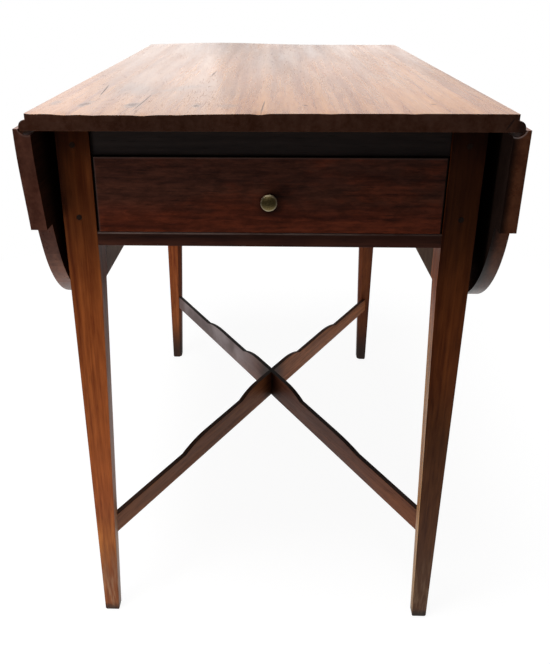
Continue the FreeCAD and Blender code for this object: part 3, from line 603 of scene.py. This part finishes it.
def drawer_figure(tree, colour, gloss, shader):
    """A mottled front with a redder lower part in painted light, pale arrises as painted highlights, and
    painted shade in the cracks at its edges.
    """
    place = place_on(tree)
    x = coordinate(tree, "X")
    z = coordinate(tree, "Z")
    low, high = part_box("drawer_front")
    mottle = noise(tree, stretch(tree, place, (60, 1, 210)), 1, 5, 0.7, 0.4)
    colour = dim(tree, colour, fade(tree, mottle, 0.34, 0.66, 0.72, 1.28))
    blotch = noise(tree, stretch(tree, place, (11, 1, 26)), 1, 4, 0.65)
    # Painted light: the lower part is brighter and redder, below the top's shade; the blotches are the wood's
    # own tone
    lower_light_and_blotches = calc(tree, "ADD", fade(tree, z, high.z - 0.042, low.z + 0.010),
                fade(tree, blotch, 0.50, 0.66, 0.0, 0.55))
    colour = shift(tree, colour, lower_light_and_blotches, DRAWER_RED)
    # Painted shadow round the knob
    colour = knob_shadow(tree, colour)
    # Painted highlight on the upper and left arrises
    leftwards = product(tree, x, -1.0)
    paler = calc(tree, "MAXIMUM", beside_edge(tree, z, high.z, UPPER_HIGHLIGHT),
                  beside_edge(tree, leftwards, -low.x, LEFT_HIGHLIGHT))
    colour = cover(tree, colour, product(tree, paler, 0.5), DRAWER_HIGHLIGHT)
    # Painted shade of the gaps at the ends and along the top, on the front's edges
    sideways = calc(tree, "ABSOLUTE", x)
    crack_and_shade = calc(tree, "MAXIMUM", beside_edge(tree, sideways, high.x, SIDE_GAP_SHADE),
                 beside_edge(tree, z, high.z, UPPER_GAP_SHADE))
    return cover(tree, colour, crack_and_shade, DRAWER_GAP_SHADE), calc(tree, "MAXIMUM", gloss, crack_and_shade)


# Painted highlight on the lower rail's top front edge
RAIL_HIGHLIGHT = (0.14, 0.097, 0.085)
RAIL_HIGHLIGHT_REACH = (2.4 * MM, 1.2 * MM)


def rail_highlight(tree, colour, gloss, shader):
    """A painted highlight on the front edge under the drawer, broken up and fading to the right, and the face
    below it is dark.
    """
    z = coordinate(tree, "Z")
    low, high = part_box("lower_drawer_rail")
    colour = dim(tree, colour, fade(tree, z, low.z + 2 * MM, low.z + 12 * MM, 1.15, 0.55))
    # Painted highlight, broken up and fading to the right
    paler = beside_edge(tree, z, high.z, RAIL_HIGHLIGHT_REACH)
    gaps = noise(tree, stretch(tree, place_on(tree), (35, 1, 1)), 1, 4)
    broken = fade(tree, gaps, 0.3, 0.6, 0.35, 1.0)
    rightwards = fade(tree, coordinate(tree, "X"), -0.15, 0.2, 1.0, 0.4)
    return cover(tree, colour, product(tree, paler, broken, rightwards), RAIL_HIGHLIGHT), gloss


CROSSING = (0.006, 0.0, 0.0)
CORNER_DIRT, CORNER_RUBBED = (8 * MM, 56 * MM), (90 * MM, 190 * MM)
GLOW_START, GLOW_END = -0.1, 0.2
RUBBED_START, RUBBED_FULL, BLOOM_START, BLOOM_FULL = -0.24, -0.36, 0.0, 0.2
BLOOM = (0.50, 0.42, 0.42)
RUBBED_END = (1.5, 1.4, 1.0)
STRETCHER_DIRT = (0.010, 0.007, 0.006)


def stretcher_dirt(tree, colour, gloss):
    """Dirt on the upper edges and in the corners of the crossing, with rubbed wood beside these."""
    away = away_from(tree, CROSSING, (1, 1, 0))
    colour = dim(tree, colour, fade(tree, away, *CORNER_DIRT, 0.18, 1.0))
    colour = dim(tree, colour, fade(tree, away, *CORNER_RUBBED, 1.45, 1.0))
    darkening = fade(tree, facing(tree, UP), 0.5, 0.85, 0.0, 0.85)
    return cover(tree, colour, darkening, STRETCHER_DIRT), calc(tree, "MAXIMUM", gloss, darkening)


def far_painted_light(tree, colour, gloss, shader):
    """A stretcher with dirt, and painted light on its far end."""
    # Painted light on the far end
    colour = dim(tree, colour, fade(tree, coordinate(tree, "Y"), GLOW_START, GLOW_END, 1.05, 2.3))
    return stretcher_dirt(tree, colour, gloss)


def bloom(tree, colour, gloss, shader):
    """A stretcher with dirt, a rubbed near end, and a dull grey bloom towards the far end."""
    y = coordinate(tree, "Y")
    colour = shift(tree, colour, fade(tree, y, RUBBED_START, RUBBED_FULL), RUBBED_END)
    clouds = fade(tree, noise(tree, place_on(tree), 12, 4, 0.6), 0.3, 0.65, 0.35, 0.85)
    dull = product(tree, fade(tree, y, BLOOM_START, BLOOM_FULL), clouds)
    return stretcher_dirt(tree, cover(tree, colour, dull, BLOOM), gloss)


# Metals

BLOTCHES, PITS, SPECKLES = 260, 1400, 700
TURNING = (300, 2500, 300)
RIM_WORN_AND_HIGHLIT = (0.78, 0.93)
KNOB_DULL = [(0.3, (0.17, 0.125, 0.045)), (0.7, (0.36, 0.28, 0.125))]
# The rim's bright colours are partly worn brass and partly a painted highlight
KNOB_BRIGHT = [(0.3, (0.45, 0.38, 0.23)), (0.7, (0.70, 0.62, 0.43))]


def metal(name, base, dull, rough, dull_share):
    """A metal with dull patches, fine pits and a soft shine."""
    material, tree, shader = new_material(name)
    blotches = noise(tree, place_on(tree), BLOTCHES, 4, 0.65)
    tarnish = fade(tree, blotches, 0.65 - dull_share * 0.5, 0.85 - dull_share * 0.5)
    colour = mix(tree, tarnish, (*base, 1), (*dull, 1))
    tree.links.new(colour, shader.inputs["Base Color"])
    tree.links.new(fade(tree, blotches, 0.3, 0.7, rough, rough + 0.2), shader.inputs["Roughness"])
    shader.inputs["Metallic"].default_value = 1.0
    relief(tree, shader, noise(tree, place_on(tree), PITS, 3), strength=0.2, depth=0.1 * MM)
    return material


def knob_brass():
    """Tarnished brass, worn bright on the rim, where the bright colour is also a painted highlight."""
    material, tree, shader = new_material("knob_brass")
    low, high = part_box("drawer_knob")
    rim = (high.x - low.x) / 2
    radius = away_from(tree, (low + high) / 2, (1, 0, 1))
    paler = fade(tree, radius, rim * RIM_WORN_AND_HIGHLIT[0], rim * RIM_WORN_AND_HIGHLIT[1])
    speckle = noise(tree, place_on(tree), SPECKLES, 4, 0.6)
    colour = mix(tree, paler, ramp(tree, speckle, KNOB_DULL), ramp(tree, speckle, KNOB_BRIGHT))
    tree.links.new(colour, shader.inputs["Base Color"])
    tree.links.new(fade(tree, speckle, 0.3, 0.7, 0.42, 0.6), shader.inputs["Roughness"])
    shader.inputs["Metallic"].default_value = 1.0
    turning = noise(tree, stretch(tree, place_on(tree), TURNING), 1, 2)
    relief(tree, shader, turning, strength=0.15, depth=0.1 * MM)
    return material


# Warped pieces that stand for solids

FLAT = math.radians(0.4)
SHARP = math.radians(30)
MERGE = 0.002 * MM
TOP_SLICES_ACROSS, TOP_SLICES_ALONG, LEAF_SLICES = 120, 36, 24


def new_piece(node, name, slices, bend):
    """A copy of a node's solid, sliced for bending and then bent by bend(point)."""
    source = nodes[node]
    shape = bmesh.new()
    shape.from_mesh(source.data)
    bmesh.ops.remove_doubles(shape, verts=shape.verts, dist=MERGE)
    bmesh.ops.dissolve_limit(shape, verts=shape.verts, edges=shape.edges, angle_limit=FLAT)
    for axis, places in slices:
        for place in places:
            geometry = shape.verts[:] + shape.edges[:] + shape.faces[:]
            bmesh.ops.bisect_plane(shape, geom=geometry, plane_co=axis * place, plane_no=axis)
    for vertex in shape.verts:
        vertex.co += bend(vertex.co)
    mesh = bpy.data.meshes.new(name)
    shape.to_mesh(mesh)
    shape.free()
    for polygon in mesh.polygons:
        polygon.use_smooth = True
    mesh.set_sharp_from_angle(angle=SHARP)
    piece = bpy.data.objects.new(name, mesh)
    bpy.context.scene.collection.objects.link(piece)
    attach(piece, source["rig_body"])
    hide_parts(node)
    return piece


def steps(low, high, count):
    return [low + (high - low) * step / count for step in range(1, count)]


# The top's near edge: the sizes of its waves, from the longest, and each nick's place, depth and width
NEAR_WAVES = (-0.55 * MM, -1.0 * MM, -0.45 * MM, -0.2 * MM)
NICKS = (
    (-0.246, 0.7 * MM, 6 * MM), (-0.213, 0.8 * MM, 9 * MM), (-0.183, 0.5 * MM, 7 * MM),
    (-0.131, 0.9 * MM, 8 * MM), (-0.094, 0.5 * MM, 6 * MM), (-0.010, 1.1 * MM, 6 * MM),
    (0.062, 0.4 * MM, 8 * MM), (0.147, 0.5 * MM, 7 * MM),
)
WAVE_REACH, NICK_REACH = 0.25, 12 * MM
RISE_X, RISE, RISE_WIDTH, RISE_REACH = -0.116, 4.3 * MM, 0.13, 0.45


def top_bend(point):
    """The waves of the near edge, the nicks in it, and the rise of the far end."""
    height = (point.z - top_low.z) / (top_high.z - top_low.z)
    share = (point.x - top_low.x) / (top_high.x - top_low.x)
    near = max(0.0, 1 - (point.y - top_low.y) / WAVE_REACH) ** 2
    far = max(0.0, 1 - (top_high.y - point.y) / RISE_REACH) ** 2
    waves = sum(size * math.sin(order * math.pi * share) for order, size in enumerate(NEAR_WAVES, 1))
    nick = sum(depth * math.exp(-((point.x - x) / width) ** 2) for x, depth, width in NICKS)
    nick *= max(0.0, 1 - (point.y - top_low.y) / NICK_REACH)
    rise = RISE * math.exp(-((point.x - RISE_X) / RISE_WIDTH) ** 2)
    return UP * height * (near * waves - nick + far * rise)


LEAF_CURL, CURL_LENGTH = 7.5 * MM, 0.150


def leaf_curl(point):
    """The left leaf cups towards the legs below its hinges."""
    drop = min(max(pin_height - point.z, 0.0), CURL_LENGTH)
    return ACROSS * LEAF_CURL * (1 - math.cos(math.pi * drop / CURL_LENGTH)) / 2


EASE, TOP_EASE, KNOB_EASE = 0.7 * MM, 0.9 * MM, 0.35 * MM
EASED_CORNER = math.radians(32)


def soften(piece, width=EASE, join=True):
    """Ease the sharp edges, for a plain solid once its split corners and flat faces are joined."""
    if join:
        weld = piece.modifiers.new("weld", "WELD")
        weld.merge_threshold = MERGE
        merge = piece.modifiers.new("flat faces", "DECIMATE")
        merge.decimate_type = "DISSOLVE"
        merge.angle_limit = FLAT
    bevel = piece.modifiers.new("ease", "BEVEL")
    bevel.width = width
    bevel.segments = 2
    bevel.limit_method = "ANGLE"
    bevel.angle_limit = EASED_CORNER
    piece.modifiers.new("level", "WEIGHTED_NORMAL")


def paint(piece, material):
    piece.data.materials.clear()
    piece.data.materials.append(material)


# Dressing


def dress_top():
    slices = [
        (ACROSS, steps(top_low.x, top_high.x, TOP_SLICES_ACROSS)),
        (ALONG, steps(top_low.y, top_high.y, TOP_SLICES_ALONG)),
        (ALONG, [top_low.y + NICK_REACH]),
    ]
    top = new_piece("top_board", "worn_top", slices, top_bend)
    soften(top, TOP_EASE, join=False)
    paint(top, wood("top_wood", FADED, GRAIN_TURNS["y"], top_marks))


def dress_left_leaf(iron, steel):
    """The curled leaf, with its hinge plates and screws bent along with it."""
    low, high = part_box("leaf_left")
    slices = [(UP, steps(low.z, high.z, LEAF_SLICES))]
    leaf = new_piece("leaf_left", "curled_leaf", slices, leaf_curl)
    soften(leaf, join=False)
    # The left leaf takes painted shade on its bare underside, none beside its inner face, and a faint painted
    # highlight along the hollow
    wear = leaf_shade_and_wear(ACROSS, BARE_LEFT_LEAF_PAINTED_SHADE, high.x, darkening=1.0, paler=0.10)
    paint(leaf, wood("leaf_left_wood", LEFT_LEAF, GRAIN_TURNS["y"], wear))
    for end in ("front", "back"):
        node = f"hinge_left_{end}_leaf_plate"
        plate = new_piece(node, f"curled_plate_{end}", slices, leaf_curl)
        paint(plate, iron)
    screws = new_piece("leaf_left_hinge_screws", "curled_hinge_screws", (), leaf_curl)
    paint(screws, steel)


def right_leaf_wood():
    inner_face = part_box("leaf_right")[0].x
    # The right leaf takes painted shade on its bare underside and beside its inner face, and a painted
    # highlight along the hollow
    wear = leaf_shade_and_wear(-ACROSS, BARE_RIGHT_LEAF_PAINTED_SHADE, inner_face, darkening=0.10, paler=0.45)
    return wood("leaf_right_wood", RIGHT_LEAF, GRAIN_TURNS["y"], wear)


def stretcher_woods():
    low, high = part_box("stretcher_a")
    turn = math.atan2(high.y - low.y, high.x - low.x)
    return {
        "stretcher_a": wood("stretcher_wood_a", BOARD, (0, 0, -turn), far_painted_light),
        "stretcher_b": wood("stretcher_wood_b", DARK_BOARD, (0, 0, turn), bloom),
    }


def rail_woods():
    # The left rail's inner face takes painted light
    left_face = bare_face(ACROSS, BARE_LEFT_RAIL_PAINTED_LIGHT)
    right_face = bare_face(-ACROSS, BARE_RIGHT_RAIL)
    return {
        "lower_drawer_rail": wood("lower_rail_wood", FRONT, GRAIN_TURNS["x"], rail_highlight),
        "upper_drawer_rail": wood("shaded_wood", SHADED, GRAIN_TURNS["x"]),
        "end_rail": wood("front_wood", FRONT, GRAIN_TURNS["x"]),
        "side_rail_left": wood("rail_wood_left", FRONT, GRAIN_TURNS["y"], left_face),
        "side_rail_right": wood("rail_wood_right", FRONT, GRAIN_TURNS["y"], right_face),
    }


def single_looks():
    """Materials for the solids that are picked one by one, by name."""
    inner_across = wood("inner_wood_across", INNER, GRAIN_TURNS["x"])
    return {
        "leaf_right": right_leaf_wood(),
        "drawer_front": wood("drawer_wood", FRONT, GRAIN_TURNS["x"], drawer_figure),
        "drawer_back": inner_across,
        "drawer_stops": inner_across,
        "drawer_knob": knob_brass(),
        "leg_pegs": wood("peg_wood", PEG, GRAIN_TURNS["y"]),
        **rail_woods(),
        **stretcher_woods(),
    }


def dress_solids(iron, steel):
    """The solids that keep their shape: a material on each, and eased edges on the woods and the knob."""
    looks = single_looks()
    leg = wood("leg_wood", LEG, GRAIN_TURNS["z"], leg_light_and_wear)
    inner_along = wood("inner_wood_along", INNER, GRAIN_TURNS["y"])
    for name, piece in nodes.items():
        if piece.hide_render:
            continue
        if name in looks:
            material = looks[name]
        elif name.startswith("leg_"):
            material = leg
        elif name.startswith(("drawer_", "fly_rail_left", "fly_rail_right", "fly_bracket")):
            material = inner_along
        elif "screws" in name:
            material = steel
        else:
            material = iron
        paint(piece, material)
        if name == "drawer_knob":
            soften(piece, KNOB_EASE)
        elif material not in (steel, iron) and name != "leg_pegs":
            soften(piece)


def dress():
    iron = metal("hinge_iron", (0.09, 0.08, 0.075), (0.05, 0.035, 0.028), rough=0.5, dull_share=0.6)
    steel = metal("screw_steel", (0.22, 0.20, 0.18), (0.10, 0.07, 0.05), rough=0.4, dull_share=0.5)
    dress_top()
    dress_left_leaf(iron, steel)
    dress_solids(iron, steel)


# Studio: the camera's focal length and centre are in pixels of the photograph

PICTURE_WIDTH, PICTURE_HEIGHT = 550, 664
FOCAL = 761.0
VIEW_CENTRE_X, VIEW_CENTRE_Y = 246.2, 340.0
EYE = Vector((0.0041, -1.2545, 0.8351))
PITCH, YAW, ROLL = (math.radians(angle) for angle in (25.35, -2.05, 0.19))
SENSOR = 36.0


def camera():
    """The photograph's view."""
    data = bpy.data.cameras.new("camera")
    data.sensor_fit = "HORIZONTAL"
    data.sensor_width = SENSOR
    data.lens = FOCAL * SENSOR / PICTURE_WIDTH
    data.shift_x = (PICTURE_WIDTH / 2 - VIEW_CENTRE_X) / PICTURE_WIDTH
    data.shift_y = (VIEW_CENTRE_Y - PICTURE_HEIGHT / 2) / PICTURE_WIDTH
    forward = Vector((
        math.sin(YAW) * math.cos(PITCH), math.cos(YAW) * math.cos(PITCH), -math.sin(PITCH),
    ))
    right = Vector((math.cos(YAW), -math.sin(YAW), 0))
    down = forward.cross(right)
    rolled_right = right * math.cos(ROLL) + down * math.sin(ROLL)
    rolled_down = down * math.cos(ROLL) - right * math.sin(ROLL)
    axes = Matrix((rolled_right, -rolled_down, -forward)).transposed()
    view = bpy.data.objects.new("camera", data)
    view.matrix_world = Matrix.Translation(EYE) @ axes.to_4x4()
    bpy.context.scene.collection.objects.link(view)
    bpy.context.scene.camera = view


def lamp(name, place, target, size, power, height=None, shown=True):
    """A round or oval soft lamp; it may be kept out of the gloss."""
    data = bpy.data.lights.new(name, "AREA")
    data.shape = "ELLIPSE"
    data.size = size
    data.size_y = height or size
    data.energy = power
    light = bpy.data.objects.new(name, data)
    light.location = place
    light.rotation_euler = (Vector(target) - Vector(place)).to_track_quat("-Z", "Y").to_euler()
    light.visible_camera = False
    light.visible_glossy = shown
    bpy.context.scene.collection.objects.link(light)


def seen_rays(tree):
    """Masks of the rays that see the background, straight or by way of gloss or glass, and of camera rays."""
    path = add(tree, "LightPath")
    camera_ray = path.outputs["Is Camera Ray"]
    seen = calc(tree, "MAXIMUM", camera_ray, path.outputs["Is Glossy Ray"])
    seen = calc(tree, "MAXIMUM", seen, path.outputs["Is Transmission Ray"])
    return seen, camera_ray


AMBIENT = 0.13
ROOM_DARK, ROOM_BRIGHT = 0.03, 0.92


def world():
    """A white backdrop, which gloss sees brighter behind the table than behind the camera."""
    surroundings = bpy.data.worlds.new("studio")
    bpy.context.scene.world = surroundings
    surroundings.use_nodes = True
    tree = surroundings.node_tree
    seen, camera_ray = seen_rays(tree)
    direction = add(tree, "TexCoord").outputs["Generated"]
    backwards = add(tree, "SeparateXYZ", {0: direction}).outputs["Y"]
    room = fade(tree, backwards, -0.35, 0.45, ROOM_DARK, ROOM_BRIGHT)
    room = calc(tree, "MAXIMUM", room, camera_ray)
    level = add(tree, "Mix", {0: seen, 2: AMBIENT, 3: room}).outputs[0]
    background = tree.nodes["Background"]
    background.inputs["Color"].default_value = (1, 1, 1, 1)
    tree.links.new(level, background.inputs["Strength"])


FLOOR_RADIUS, FLOOR_SIDES, FLOOR_DROP = 1.4, 96, 0.2 * MM
FLOOR_WHITE, FLOOR_SHADOW = 0.93, 0.15
GLOSS_POOL, PALE_PAPER = (0.45, 1.0), (0.65, 1.1)


def floor_material():
    """White with a faint shadow to the camera, darker outwards to gloss, and pale paper to other light."""
    material, tree, shader = new_material("floor")
    tree.nodes.remove(shader)
    seen, camera_ray = seen_rays(tree)
    distance = length(tree, place_on(tree))
    pool = calc(tree, "MAXIMUM", fade(tree, distance, *GLOSS_POOL, 0.85, 0.05), camera_ray)
    near = fade(tree, distance, *PALE_PAPER, 0.75, 0.15)
    pale = add(tree, "CombineColor", {0: near, 1: near, 2: near}).outputs[0]
    paper = add(tree, "BsdfDiffuse", {"Color": pale}).outputs[0]
    shadow = add(tree, "BsdfDiffuse", {"Color": (*grey(FLOOR_SHADOW), 1)}).outputs[0]
    strength = product(tree, pool, FLOOR_WHITE)
    white = add(tree, "Emission", {"Color": (1, 1, 1, 1), "Strength": strength}).outputs[0]
    shown = add(tree, "AddShader", {0: white, 1: shadow}).outputs[0]
    surface = add(tree, "MixShader", {0: seen, 1: paper, 2: shown}).outputs[0]
    tree.links.new(surface, tree.nodes["Material Output"].inputs["Surface"])
    return material


def floor():
    """A pale round floor."""
    shape = bmesh.new()
    bmesh.ops.create_circle(shape, cap_ends=True, radius=FLOOR_RADIUS, segments=FLOOR_SIDES)
    mesh = bpy.data.meshes.new("floor")
    shape.to_mesh(mesh)
    shape.free()
    piece = bpy.data.objects.new("floor", mesh)
    piece.location.z = -FLOOR_DROP
    bpy.context.scene.collection.objects.link(piece)
    paint(piece, floor_material())


def studio():
    camera()
    world()
    floor()
    lamp("ceiling", place=(-0.35, -0.55, 2.6), target=(0, -0.1, 0.7), size=1.3, power=44)
    lamp("backdrop", place=(-1.35, 2.6, 1.0), target=(0, 0, 0.7), size=2.4, power=8)
    lamp("horizon", place=(0.35, 2.6, 0.55), target=(0.35, 0, 0.55), size=2.6, height=0.8, power=5.0)
    lamp("reflector", place=(-0.66, -0.92, 0.22), target=(-0.2, -0.42, 0.27), size=0.45, power=4.3,
         shown=False)
    bpy.context.scene.view_settings.view_transform = "Standard"


dress()
studio()
